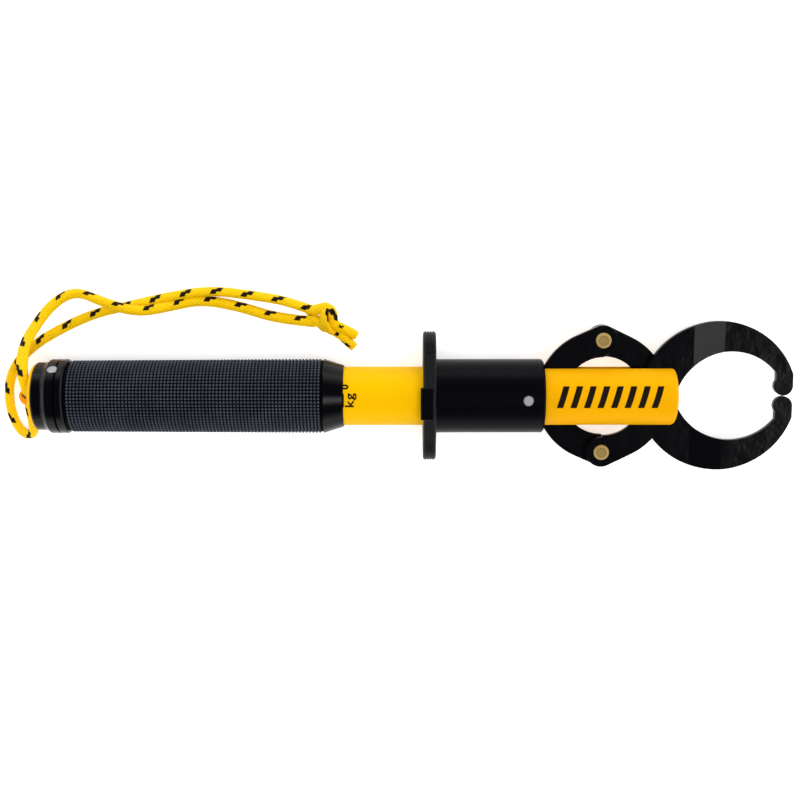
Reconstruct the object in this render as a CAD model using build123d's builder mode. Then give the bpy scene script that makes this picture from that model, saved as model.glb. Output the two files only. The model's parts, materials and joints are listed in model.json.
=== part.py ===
"""Fishing lip grip with a built-in spring scale.

A knurled handle holds a sliding scale barrel. A trigger unit (jaw head, sleeve and finger
wings) slides on the barrel. Two crossed claws turn on a pin in the jaw head, and two links
join their tails to a fork that is fixed to the barrel, so pulling the wings back opens the
claws. A braided lanyard hangs from an eye at the rear.

Millimetres. +X points from the handle to the claws and +Z is up. The tool lies on its side:
the claws open in the XY plane, and the long axis is AXIS_Z above the surface it lies on.
"""
from build123d import *
from math import cos, pi, radians, sin, tan
import os

os.makedirs("parts", exist_ok=True)

# ---------------------------------------------------------------- driving dimensions
AXIS_Z = 12.6            # height of the long axis: half of the widest turned diameter
BEAD_R = 12.6            # radius of the rear collar's bead
SLEEVE_R = 12.5          # radius of the sliding sleeve
CLEAR = 13.0             # a radius or half length outside every turned part
BEYOND = 100.0           # side of a cutting block that reaches past every part
FILE_REACH = 10.0        # half the height of the blocks that file a round end flat
EYE_EDGE = 0.7           # rounded edges of the small parts
PIN_EDGE = 0.5
WINGS_EDGE = 0.9
KEY_EDGE = 0.4
RIVET_EDGE = 0.55
KNOT_EDGE = 1.2

# Handle, from the rear
CAP_REAR_X = -126.0
CAP_FRONT_X = -124.6
BEAD_REAR_X = -120.8
BEAD_GROOVE_X = -116.9
GRIP_REAR_X = -113.8
GRIP_FRONT_X = -27.6
NOSE_FRONT_X = -20.8
NOSE_LAP_X = -24.4       # the nose narrows inside from the tube to the barrel up to here
BUSH_REAR_X = -38.0
TUBE_REAR_X = -121.0
TUBE_FRONT_X = -26.0
PLUG_REAR_X = -120.6
PLUG_FRONT_X = -113.0
CAP_R = 11.55
SPIGOT_CAP_R = 10.2
TUBE_R_IN = 10.8
TUBE_R_OUT = 11.4
GRIP_R_REAR = 12.0
GRIP_R_FRONT = 12.45
NOSE_R_REAR = 12.6
NOSE_R_FRONT = 10.6
GROOVE = 0.7             # width of the groove in the collar
SCREW_X = -117.8
SCREW_TURN = 54.0        # degrees from straight up towards +Y
SCREW_R = 1.7
SCREW_FOOT_R = 8.0
SCREW_TOP_R = 12.35
NUT_R = 4.6
NUT_T = 2.4
SHANK_R = 2.5            # threaded shank of the lanyard eye
SHANK_END_X = -106.2
EYE_HOLE_X = -128.0
EYE_HOLE_R = 2.1
EYE_R_OUT = 3.2
EYE_WIDTH = 2.6
EYE_TURN = 45.0          # the eye's hole points this many degrees up from +Y

# Springs
TAB_HALF = 1.0           # half thickness of the flattened tabs that the loops go through
TAB_REACH = 4.0          # a height that is clear of a tab
SPRING_REAR_HOLE_X = -108.0
SPRING_FRONT_HOLE_X = -4.4
SPRING_WIRE_R = 0.7
SPRING_HOLE_R = 1.0
LOOP_R = 2.6
COIL_R_OUT = 6.4
COIL_R_IN = 5.0
COIL_GROOVE = 0.35       # depth of the valleys between the coils
SPRING_EYE_R = 4.0
SPRING_STUD_R = 2.0
JAW_WIRE_R = 0.55
JAW_SPRING_R = 8.95
JAW_SPRING_TURNS = 4.5

# Scale barrel
BARREL_R = 9.95
BARREL_R_IN = 8.6
BARREL_REAR_X = -88.0
BARREL_FRONT_X = 14.0
SLIDE_FIT = 0.08         # radial clearance of a sliding guide
FREE_GAP = 0.25          # radial gap where two bodies pass and must not touch
STOP_T = 5.0
STOP_FLANGE_T = 2.0
STOP_R = 10.7
PLUG_PIN_X = 8.4         # cross pin that holds the fork in the barrel, hidden by the sleeve
PLUG_PIN_R = 1.25

# Trigger unit
WINGS_REAR_X = 5.9
WINGS_FRONT_X = 10.3
SLEEVE_FRONT_X = 46.5
SPIGOT_R = 11.2
WINGS_HALF_HEIGHT = 22.0
WINGS_END_R = 7.0
END_Y = WINGS_HALF_HEIGHT - WINGS_END_R
RIB_PITCH = 0.85
RIB_DEPTH = 0.3
RIB_WIDTH = 0.3
RIB_START_Y = 14.0
KEY_X = 7.2              # pad on the near side of the wings
KEY_Y = -1.0
KEY_LENGTH = 4.4
KEY_WIDTH = 10.8
KEY_BOTTOM = 11.25
KEY_TOP = 12.8
HEAD_R = 9.95
HEAD_COLLAR_R = BARREL_R + SLIDE_FIT
HEAD_TIP_ROUND = 1.6
HEAD_BORE_R = 7.9
HEAD_REAR_X = 36.0
HEAD_BORE_END_X = 71.0
HEAD_TIP_X = 91.1
SLOT_HALF = 2.7          # half of the slot that the claws and links work in
SLOT_REAR_X = 39.5
SLEEVE_PIN_X = 40.7
SLEEVE_PIN_R = 1.8

# Fork on the barrel
FORK_R = 7.5
FORK_SLOT_X = 38.0
FORK_FRONT_X = 52.0
FORK_PIN_R = 1.5

# Four-bar linkage: two claw tails and two links make a rhombus
PIVOT_X = 87.0
FORK_PIN_X = 46.0
RIVET_X = 66.5
RIVET_Y = 19.05
PIVOT_PIN_R = 2.0
PIVOT_TOP = 7.0          # the pin is pressed in from below and stops under the upper face
RIVET_R = 1.6
RIVET_HEAD_R = 2.65
RIVET_HEAD_H = 0.9
TURN_FIT = 0.05          # radial clearance of a turning pin
OPEN_PIVOT_GAP = 0.45    # radial clearance of the link eyes on the fork pin
OPEN_PIVOT_SHIFT = 0.27  # the link eyes are bored this far forward of the fork pin

# Plates: two layers, one each side of the jaw plane
PLATE_IN = 0.1           # gap from the jaw plane to a plate
PLATE_T = 2.4
RING_X = 67.0            # centre of the ring that tails and links make when closed
LINK_R_OUT = 22.7        # outer radius of the ring band, on the links
TAIL_R_OUT = 22.0        # and on the claw tails
RING_R_IN = 13.4
LOBE_R = 5.1
EYE_R = 4.5
HUB_R = 7.4

# Claws
CLAW_OUT_X = 105.75
CLAW_OUT_DROP = 1.5     # circle centres lie this far past the axis
CLAW_R_OUT = 26.95
CLAW_IN_X = 110.25
CLAW_IN_DROP = 4.45
CLAW_R_IN = 19.6
FINGER_REAR_X = 125.4
CLAW_FRONT_X = 131.2
FINGER_ROOT_Y = 8.1
FINGER_END_R = 3.2
TIP_GAP = 0.15           # half of the gap between the closed tips
JOGGLE_START_X = 97.0    # the plates bend here so that the two tips meet in one plane
JOGGLE_END_X = 107.7

# Lanyard
CORD_R = 1.65

SIDE = Plane(origin=(0, 0, AXIS_Z), x_dir=(1, 0, 0), z_dir=(0, -1, 0))
FLAT = Plane.XY.offset(AXIS_Z)
LONG_AXIS = Axis((0, 0, AXIS_Z), (1, 0, 0))
EYE_DIRECTION = (0, cos(radians(EYE_TURN)), sin(radians(EYE_TURN)))
EYE_PLANE = Plane(origin=(0, 0, AXIS_Z), x_dir=(1, 0, 0), z_dir=EYE_DIRECTION)
EYE_AXIS = Axis((0, 0, AXIS_Z), EYE_DIRECTION)


def across(x):
    """Plane square to the long axis at x: local x is +Y and local y is +Z."""
    return Plane(origin=(x, 0, AXIS_Z), x_dir=(0, 1, 0), z_dir=(1, 0, 0))


def turn(*corners, mode=Mode.ADD):
    """Turn a closed (x, radius) outline about the long axis."""
    with BuildSketch(SIDE) as outline:
        with BuildLine():
            Polyline(*corners, close=True)
        make_face()
    revolve(outline.sketch, axis=LONG_AXIS, mode=mode)


def upright_rod(x, y, radius, z_low, z_high, mode=Mode.ADD):
    """Round rod square to the jaw plane, its heights counted from the long axis."""
    with BuildSketch(FLAT.offset(z_low)) as disc:
        with Locations((x, y)):
            Circle(radius)
    extrude(disc.sketch, amount=z_high - z_low, mode=mode)


def radial_rod(x, angle, radius, r_in, r_out, mode=Mode.ADD):
    """Round rod along a radius, angle in degrees from straight up towards +Y."""
    out = Vector(0, sin(radians(angle)), cos(radians(angle)))
    start = Vector(x, 0, AXIS_Z) + out * r_in
    with BuildSketch(Plane(origin=start, x_dir=(1, 0, 0), z_dir=out)) as disc:
        Circle(radius)
    extrude(disc.sketch, amount=r_out - r_in, mode=mode)


def flatten(x_low, x_high):
    """File both sides of a round end flat, so that a spring loop can pass through it."""
    for side in (1, -1):
        with BuildSketch(FLAT.offset(min(side * TAB_HALF, side * FILE_REACH))) as block:
            with Locations(((x_low + x_high) / 2, 0)):
                Rectangle(x_high - x_low, 2 * FILE_REACH)
        extrude(block.sketch, amount=FILE_REACH - TAB_HALF, mode=Mode.SUBTRACT)


def save(piece, name):
    """Label a finished piece and write its STEP file."""
    piece.part.label = name
    export_step(piece.part, f"parts/{name}.step")


# ---------------------------------------------------------------- handle
with BuildPart() as handle_tube:
    turn(
        (TUBE_REAR_X, TUBE_R_IN),
        (TUBE_FRONT_X, TUBE_R_IN),
        (TUBE_FRONT_X, TUBE_R_OUT),
        (TUBE_REAR_X, TUBE_R_OUT),
    )
    for side in (0, 180):
        radial_rod(SCREW_X, SCREW_TURN + side, SCREW_R, SCREW_FOOT_R, CLEAR, mode=Mode.SUBTRACT)
save(handle_tube, "handle_tube")

with BuildPart() as grip_sleeve:
    turn(
        (GRIP_REAR_X, TUBE_R_OUT),
        (GRIP_FRONT_X, TUBE_R_OUT),
        (GRIP_FRONT_X, GRIP_R_FRONT),
        (GRIP_REAR_X, GRIP_R_REAR),
    )
save(grip_sleeve, "grip_sleeve")

with BuildPart() as nose_ring:
    turn(
        (GRIP_FRONT_X, TUBE_R_OUT),
        (TUBE_FRONT_X, TUBE_R_OUT),
        (TUBE_FRONT_X, TUBE_R_IN),
        (NOSE_LAP_X, BARREL_R + FREE_GAP),
        (NOSE_FRONT_X, BARREL_R + FREE_GAP),
        (NOSE_FRONT_X, NOSE_R_FRONT - 0.15),
        (NOSE_FRONT_X - 0.3, NOSE_R_FRONT),
        (GRIP_FRONT_X + 0.3, NOSE_R_REAR),
        (GRIP_FRONT_X, NOSE_R_REAR),
    )
save(nose_ring, "nose_ring")

with BuildPart() as nose_bush:
    turn(
        (BUSH_REAR_X, BARREL_R + SLIDE_FIT),
        (TUBE_FRONT_X, BARREL_R + SLIDE_FIT),
        (TUBE_FRONT_X, TUBE_R_IN),
        (BUSH_REAR_X, TUBE_R_IN),
    )
save(nose_bush, "nose_bush")

with BuildPart() as rear_collar:
    turn(
        (CAP_FRONT_X, SPIGOT_CAP_R),
        (TUBE_REAR_X, SPIGOT_CAP_R),
        (TUBE_REAR_X, TUBE_R_OUT),
        (GRIP_REAR_X, TUBE_R_OUT),
        (GRIP_REAR_X, BEAD_R - 0.5),
        (GRIP_REAR_X - 0.5, BEAD_R),
        (BEAD_GROOVE_X + GROOVE, BEAD_R),
        (BEAD_GROOVE_X + GROOVE / 2, BEAD_R - GROOVE),
        (BEAD_GROOVE_X, BEAD_R),
        (BEAD_REAR_X + 1.2, BEAD_R),
        (BEAD_REAR_X, CAP_R + 0.2),
        (BEAD_REAR_X - 0.5, CAP_R),
        (CAP_FRONT_X + 0.5, CAP_R),
        (CAP_FRONT_X, CAP_R - 0.4),
    )
    for side in (0, 180):
        radial_rod(SCREW_X, SCREW_TURN + side, SCREW_R, SCREW_FOOT_R, CLEAR, mode=Mode.SUBTRACT)
save(rear_collar, "rear_collar")

with BuildPart() as end_plug:
    turn(
        (PLUG_REAR_X, SHANK_R),
        (PLUG_FRONT_X, SHANK_R),
        (PLUG_FRONT_X, TUBE_R_IN),
        (PLUG_REAR_X, TUBE_R_IN),
    )
    for side in (0, 180):
        radial_rod(SCREW_X, SCREW_TURN + side, SCREW_R, SCREW_FOOT_R, CLEAR, mode=Mode.SUBTRACT)
save(end_plug, "end_plug")

with BuildPart() as collar_screws:
    for side in (0, 180):
        radial_rod(SCREW_X, SCREW_TURN + side, SCREW_R, SCREW_FOOT_R, SCREW_TOP_R)
save(collar_screws, "collar_screws")

with BuildPart() as end_cap:
    turn(
        (CAP_REAR_X, SHANK_R),
        (PLUG_REAR_X, SHANK_R),
        (PLUG_REAR_X, SPIGOT_CAP_R),
        (CAP_FRONT_X, SPIGOT_CAP_R),
        (CAP_FRONT_X, CAP_R - 0.3),
        (CAP_REAR_X + 1.1, CAP_R - 0.4),
        (CAP_REAR_X + 0.4, CAP_R - 0.9),
        (CAP_REAR_X, CAP_R - 1.9),
    )
save(end_cap, "end_cap")

with BuildPart() as lanyard_eye:
    with BuildSketch(EYE_PLANE):
        with Locations((EYE_HOLE_X, 0)):
            Circle(EYE_R_OUT)
        with Locations(((EYE_HOLE_X + CAP_REAR_X) / 2, 0)):
            Rectangle(CAP_REAR_X - EYE_HOLE_X, 2 * EYE_R_OUT)
        with Locations((CAP_REAR_X - BEYOND / 2, 0)):
            Rectangle(BEYOND, BEYOND, mode=Mode.INTERSECT)
    extrude(amount=EYE_WIDTH / 2, both=True)
    faces = lanyard_eye.faces().sort_by(EYE_AXIS)
    fillet(faces[0].edges() + faces[-1].edges(), EYE_EDGE)
    with BuildSketch(EYE_PLANE):
        with Locations((EYE_HOLE_X, 0)):
            Circle(EYE_HOLE_R)
    extrude(amount=EYE_WIDTH, both=True, mode=Mode.SUBTRACT)
    with BuildSketch(across(CAP_REAR_X)):
        Circle(SHANK_R)
    extrude(amount=SHANK_END_X - CAP_REAR_X)
    flatten(SHANK_END_X - 4.2, SHANK_END_X)
    upright_rod(SPRING_REAR_HOLE_X, 0, SPRING_HOLE_R, -TAB_REACH, TAB_REACH, mode=Mode.SUBTRACT)
save(lanyard_eye, "lanyard_eye")

with BuildPart() as eye_nut:
    with BuildSketch(across(PLUG_FRONT_X)):
        RegularPolygon(radius=NUT_R, side_count=6)
        Circle(SHANK_R, mode=Mode.SUBTRACT)
    extrude(amount=NUT_T)
save(eye_nut, "eye_nut")

# ---------------------------------------------------------------- scale barrel and fork
with BuildPart() as scale_barrel:
    turn(
        (BARREL_REAR_X, BARREL_R_IN),
        (BARREL_FRONT_X, BARREL_R_IN),
        (BARREL_FRONT_X, BARREL_R),
        (BARREL_REAR_X, BARREL_R),
    )
    radial_rod(PLUG_PIN_X, 0, PLUG_PIN_R, -CLEAR, CLEAR, mode=Mode.SUBTRACT)
save(scale_barrel, "scale_barrel")

with BuildPart() as barrel_stop_ring:
    turn(
        (BARREL_REAR_X - STOP_FLANGE_T, BARREL_R_IN - 1.0),
        (BARREL_REAR_X + STOP_T, BARREL_R_IN - 1.0),
        (BARREL_REAR_X + STOP_T, BARREL_R_IN),
        (BARREL_REAR_X, BARREL_R_IN),
        (BARREL_REAR_X, STOP_R),
        (BARREL_REAR_X - STOP_FLANGE_T, STOP_R),
    )
save(barrel_stop_ring, "barrel_stop_ring")

with BuildPart() as link_fork:
    turn(
        (0, 0),
        (FORK_FRONT_X, 0),
        (FORK_FRONT_X, FORK_R - 0.8),
        (FORK_FRONT_X - 0.8, FORK_R),
        (BARREL_FRONT_X, FORK_R),
        (BARREL_FRONT_X, BARREL_R_IN),
        (0, BARREL_R_IN),
    )
    with BuildSketch(FLAT):
        with Locations(((FORK_SLOT_X + FORK_FRONT_X + 2) / 2, 0)):
            Rectangle(FORK_FRONT_X + 2 - FORK_SLOT_X, 4 * FORK_R)
    extrude(amount=SLOT_HALF, both=True, mode=Mode.SUBTRACT)
    upright_rod(FORK_PIN_X, 0, FORK_PIN_R, -CLEAR, CLEAR, mode=Mode.SUBTRACT)
    radial_rod(PLUG_PIN_X, 0, PLUG_PIN_R, -CLEAR, CLEAR, mode=Mode.SUBTRACT)
    with BuildSketch(across(0)):
        Circle(SPRING_STUD_R)
    extrude(amount=PLUG_PIN_X - PLUG_PIN_R - 0.4, mode=Mode.SUBTRACT)
save(link_fork, "link_fork")

with BuildPart() as fork_pin:
    upright_rod(FORK_PIN_X, 0, FORK_PIN_R, -(FORK_R - 0.5), FORK_R - 0.5)
save(fork_pin, "fork_pin")

with BuildPart() as plug_pin:
    radial_rod(PLUG_PIN_X, 0, PLUG_PIN_R, -(BARREL_R - 0.15), BARREL_R - 0.15)
save(plug_pin, "plug_pin")

with BuildPart() as spring_eye:
    turn((-1.6, 0), (0, 0), (0, SPRING_EYE_R), (-1.6, SPRING_EYE_R))
    with BuildSketch(across(0)):
        Circle(SPRING_STUD_R)
    extrude(amount=PLUG_PIN_X - PLUG_PIN_R - 0.4)
    turn((-6.4, 0), (-1.6, 0), (-1.6, 2.2), (-6.0, 2.2), (-6.4, 1.8))
    flatten(-6.4, -2.4)
    upright_rod(SPRING_FRONT_HOLE_X, 0, SPRING_HOLE_R, -TAB_REACH, TAB_REACH, mode=Mode.SUBTRACT)
save(spring_eye, "spring_eye")

# Closely wound extension spring with a loop at each end
with BuildPart() as scale_spring:
    coil_rear = SPRING_REAR_HOLE_X + 2 * LOOP_R + SPRING_WIRE_R
    coil_front = SPRING_FRONT_HOLE_X - 2 * LOOP_R - SPRING_WIRE_R
    coil_turns = round((coil_front - coil_rear) / (2 * SPRING_WIRE_R))
    pitch = (coil_front - coil_rear) / coil_turns
    with BuildSketch(SIDE):
        with BuildLine():
            crest = COIL_R_OUT
            valley = COIL_R_OUT - COIL_GROOVE
            Line((coil_rear, COIL_R_IN), (coil_front, COIL_R_IN))
            Line((coil_front, COIL_R_IN), (coil_front, valley))
            for n in range(coil_turns):
                x = coil_front - n * pitch
                ThreePointArc((x, valley), (x - pitch / 2, crest), (x - pitch, valley))
            Line((coil_rear, valley), (coil_rear, COIL_R_IN))
        make_face()
    revolve(axis=LONG_AXIS)
    for loop_x, coil_x in (
        (SPRING_REAR_HOLE_X + LOOP_R, coil_rear),
        (SPRING_FRONT_HOLE_X - LOOP_R, coil_front),
    ):
        with Locations(Location((loop_x, 0, AXIS_Z), (90, 0, 0))):
            Torus(LOOP_R, SPRING_WIRE_R)
        upright_rod(coil_x, 0, SPRING_WIRE_R, -(COIL_R_OUT - 0.5), COIL_R_OUT - 0.5)
save(scale_spring, "scale_spring")

with BuildPart() as jaw_spring:
    spring_start = BARREL_FRONT_X + JAW_WIRE_R + 0.02
    spring_length = HEAD_REAR_X - JAW_WIRE_R - 0.02 - spring_start
    with BuildLine():
        wire_line = Helix(
            pitch=spring_length / JAW_SPRING_TURNS,
            height=spring_length,
            radius=JAW_SPRING_R,
            center=(spring_start, 0, AXIS_Z),
            direction=(1, 0, 0),
        )
    with BuildSketch(Plane(origin=wire_line @ 0, z_dir=wire_line % 0)):
        Circle(JAW_WIRE_R)
    sweep(path=wire_line, is_frenet=True)
save(jaw_spring, "jaw_spring")

# ---------------------------------------------------------------- trigger unit
with BuildPart() as jaw_head:
    turn(
        (HEAD_REAR_X, HEAD_BORE_R),
        (HEAD_BORE_END_X, HEAD_BORE_R),
        (HEAD_BORE_END_X, 0),
        (HEAD_TIP_X, 0),
        (HEAD_TIP_X, HEAD_R),
        (SLEEVE_FRONT_X, HEAD_R),
        (SLEEVE_FRONT_X - 0.4, HEAD_COLLAR_R),
        (HEAD_REAR_X, HEAD_COLLAR_R),
    )
    fillet(jaw_head.edges().filter_by(GeomType.CIRCLE).sort_by(Axis.X)[-1], HEAD_TIP_ROUND)
    with BuildSketch(FLAT):
        with Locations(((SLOT_REAR_X + HEAD_TIP_X + 2) / 2, 0)):
            Rectangle(HEAD_TIP_X + 2 - SLOT_REAR_X, 4 * HEAD_R)
    extrude(amount=SLOT_HALF, both=True, mode=Mode.SUBTRACT)
    upright_rod(PIVOT_X, 0, PIVOT_PIN_R, -CLEAR, PIVOT_TOP, mode=Mode.SUBTRACT)
    radial_rod(SLEEVE_PIN_X, 0, SLEEVE_PIN_R, -CLEAR, CLEAR, mode=Mode.SUBTRACT)
save(jaw_head, "jaw_head")

with BuildPart() as pivot_pin:
    upright_rod(PIVOT_X, 0, PIVOT_PIN_R, -(HEAD_R - 0.1), PIVOT_TOP)
save(pivot_pin, "pivot_pin")

with BuildPart() as slide_sleeve:
    turn(
        (WINGS_REAR_X, BARREL_R + SLIDE_FIT),
        (SLEEVE_FRONT_X, BARREL_R + SLIDE_FIT),
        (SLEEVE_FRONT_X, SLEEVE_R - 0.6),
        (SLEEVE_FRONT_X - 0.6, SLEEVE_R),
        (WINGS_FRONT_X, SLEEVE_R),
        (WINGS_FRONT_X, SPIGOT_R),
        (WINGS_REAR_X, SPIGOT_R),
    )
    radial_rod(SLEEVE_PIN_X, 0, SLEEVE_PIN_R, -CLEAR, CLEAR, mode=Mode.SUBTRACT)
save(slide_sleeve, "slide_sleeve")

with BuildPart() as sleeve_pins:
    for side in (0, 180):
        radial_rod(SLEEVE_PIN_X, side, SLEEVE_PIN_R, HEAD_BORE_R + 0.1, SLEEVE_R - 0.1)
    tops = sleeve_pins.edges().group_by(Axis.Z)
    fillet(tops[0] + tops[-1], PIN_EDGE)
save(sleeve_pins, "sleeve_pins")

with BuildPart() as finger_wings:
    with BuildSketch(across(WINGS_REAR_X)):
        Circle(SLEEVE_R + 0.4)
        with Locations((END_Y, 0), (-END_Y, 0)):
            Circle(WINGS_END_R)
        make_hull()
        Rectangle(3 * WINGS_HALF_HEIGHT, 2 * AXIS_Z, mode=Mode.INTERSECT)
    extrude(amount=WINGS_FRONT_X - WINGS_REAR_X)
    rims = finger_wings.edges().group_by(Axis.X)
    fillet(rims[0] + rims[-1], WINGS_EDGE)
    # Fine ribs round each end, where the fingers pull
    for n in (-1, 0, 1):
        rib_x = (WINGS_REAR_X + WINGS_FRONT_X) / 2 + n * RIB_PITCH
        with BuildSketch(across(rib_x - RIB_WIDTH / 2)):
            for end in (1, -1):
                with Locations((end * (RIB_START_Y + 5), 0)):
                    Rectangle(10, 30)
            with Locations((END_Y, 0), (-END_Y, 0)):
                Circle(WINGS_END_R - RIB_DEPTH, mode=Mode.SUBTRACT)
            Rectangle(2 * END_Y, 2 * WINGS_END_R + 2.5, mode=Mode.SUBTRACT)
        extrude(amount=RIB_WIDTH, mode=Mode.SUBTRACT)
    with BuildSketch(across(WINGS_REAR_X)):
        Circle(SPIGOT_R)
    extrude(amount=WINGS_FRONT_X - WINGS_REAR_X, mode=Mode.SUBTRACT)
    with BuildSketch(FLAT.offset(KEY_BOTTOM)):
        with Locations((KEY_X, KEY_Y)):
            Rectangle(KEY_LENGTH, KEY_WIDTH)
    extrude(amount=5, mode=Mode.SUBTRACT)
save(finger_wings, "finger_wings")

with BuildPart() as wings_key:
    with BuildSketch(FLAT.offset(KEY_BOTTOM)):
        with Locations((KEY_X, KEY_Y)):
            Rectangle(KEY_LENGTH, KEY_WIDTH)
    extrude(amount=KEY_TOP - KEY_BOTTOM)
    fillet(wings_key.edges().group_by(Axis.Z)[-1], KEY_EDGE)
save(wings_key, "wings_key")


# ---------------------------------------------------------------- claws and links
def layer(side):
    """Heights of the plate layer above (side 1) or below (side -1) the jaw plane."""
    if side > 0:
        return PLATE_IN, PLATE_IN + PLATE_T
    return -PLATE_IN - PLATE_T, -PLATE_IN


def ring_arm(side, x_dir, outer_r):
    """One quarter of the ring, on the given side of the axis, ahead or behind its centre, with
    its outline running straight from the band to the round lobe at the rivet."""
    with Locations((RING_X, 0)):
        Circle(outer_r)
    with Locations((RIVET_X, side * RIVET_Y)):
        Circle(LOBE_R)
    make_hull()
    with Locations((RING_X, 0)):
        Circle(RING_R_IN, mode=Mode.SUBTRACT)
    with Locations((RING_X + x_dir * BEYOND / 2, side * BEYOND / 2)):
        Rectangle(BEYOND, BEYOND, mode=Mode.INTERSECT)
    with Locations((RIVET_X, side * RIVET_Y)):
        Circle(LOBE_R)


def jaw(side):
    """Claw plate: the claw is on the given side of the axis, its tail on the other side."""
    reach = CLEAR
    with BuildPart() as plate:
        # Claw: the crescent between two circles, with a straight round-ended finger that meets
        # the other claw's
        finger_low = TIP_GAP + FINGER_END_R
        finger_high = FINGER_ROOT_Y + 0.6
        with BuildSketch(FLAT.offset(-reach)) as outline:
            with Locations((CLAW_OUT_X, -side * CLAW_OUT_DROP)):
                Circle(CLAW_R_OUT)
            with Locations((CLAW_IN_X, -side * CLAW_IN_DROP)):
                Circle(CLAW_R_IN, mode=Mode.SUBTRACT)
            with Locations((CLAW_OUT_X, side * BEYOND / 2)):
                Rectangle(BEYOND, BEYOND, mode=Mode.INTERSECT)
            with Locations((CLAW_IN_X + BEYOND / 2, 0)):
                Rectangle(BEYOND, 2 * FINGER_ROOT_Y, mode=Mode.SUBTRACT)
            with Locations(
                ((CLAW_FRONT_X + FINGER_REAR_X) / 2, side * (finger_low + finger_high) / 2)
            ):
                Rectangle(CLAW_FRONT_X - FINGER_REAR_X, finger_high - finger_low)
            with Locations((CLAW_FRONT_X - FINGER_END_R, side * finger_low)):
                Circle(FINGER_END_R)
            with Locations((CLAW_OUT_X, -side * CLAW_OUT_DROP)):
                Circle(CLAW_R_OUT, mode=Mode.INTERSECT)
            with Locations((CLAW_FRONT_X + BEYOND / 2, 0)):
                Rectangle(BEYOND, BEYOND, mode=Mode.SUBTRACT)
        extrude(outline.sketch, amount=2 * reach)
        # Hub round the pivot pin
        with BuildSketch(FLAT.offset(-reach)):
            with Locations((PIVOT_X, 0)):
                Circle(HUB_R)
            with Locations((CLAW_IN_X, -side * CLAW_IN_DROP)):
                Circle(CLAW_R_IN, mode=Mode.SUBTRACT)
        extrude(amount=2 * reach)
        # Tail: a quarter of the ring and the rivet lobe
        with BuildSketch(FLAT.offset(-reach)):
            ring_arm(-side, 1, TAIL_R_OUT)
        extrude(amount=2 * reach)
        # Bent slab: the plate lies beside the jaw plane and steps onto it towards the tip
        low, high = layer(side)
        tip_low, tip_high = -PLATE_T / 2, PLATE_T / 2
        with BuildSketch(SIDE):
            with BuildLine():
                Polyline(
                    (30, low),
                    (JOGGLE_START_X, low),
                    (JOGGLE_END_X, tip_low),
                    (150, tip_low),
                    (150, tip_high),
                    (JOGGLE_END_X, tip_high),
                    (JOGGLE_START_X, high),
                    (30, high),
                    close=True,
                )
            make_face()
        extrude(amount=60, both=True, mode=Mode.INTERSECT)
        upright_rod(PIVOT_X, 0, PIVOT_PIN_R + TURN_FIT, -CLEAR, CLEAR, mode=Mode.SUBTRACT)
        upright_rod(RIVET_X, -side * RIVET_Y, RIVET_R, -CLEAR, CLEAR, mode=Mode.SUBTRACT)
    return plate


def link(side):
    """Link plate from the rivet on the given side of the axis to the fork pin."""
    low, high = layer(side)
    with BuildPart() as plate:
        with BuildSketch(FLAT.offset(low)):
            ring_arm(side, -1, LINK_R_OUT)
            with Locations((FORK_PIN_X + OPEN_PIVOT_SHIFT, 0)):
                Circle(EYE_R)
        extrude(amount=high - low)
        eye_bore = FORK_PIN_R + OPEN_PIVOT_GAP
        upright_rod(FORK_PIN_X + OPEN_PIVOT_SHIFT, 0, eye_bore, -CLEAR, CLEAR, mode=Mode.SUBTRACT)
        upright_rod(RIVET_X, side * RIVET_Y, RIVET_R + TURN_FIT, -CLEAR, CLEAR, mode=Mode.SUBTRACT)
    return plate


def rivet(side):
    """Domed rivet through both plates, on the given side of the axis."""
    outer = PLATE_IN + PLATE_T
    head_low = outer + 0.06
    with BuildPart() as pin:
        upright_rod(RIVET_X, side * RIVET_Y, RIVET_R, -head_low, head_low)
        for end in (1, -1):
            base = min(end * head_low, end * (head_low + RIVET_HEAD_H))
            upright_rod(RIVET_X, side * RIVET_Y, RIVET_HEAD_R, base, base + RIVET_HEAD_H)
        rims = pin.edges().group_by(Axis.Z)
        fillet(rims[0] + rims[-1], RIVET_EDGE)
    return pin


jaw_upper = jaw(1)
save(jaw_upper, "jaw_upper")
jaw_lower = jaw(-1)
save(jaw_lower, "jaw_lower")
link_upper = link(1)
save(link_upper, "link_upper")
link_lower = link(-1)
save(link_lower, "link_lower")
rivet_upper = rivet(1)
save(rivet_upper, "rivet_upper")
rivet_lower = rivet(-1)
save(rivet_lower, "rivet_lower")

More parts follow.
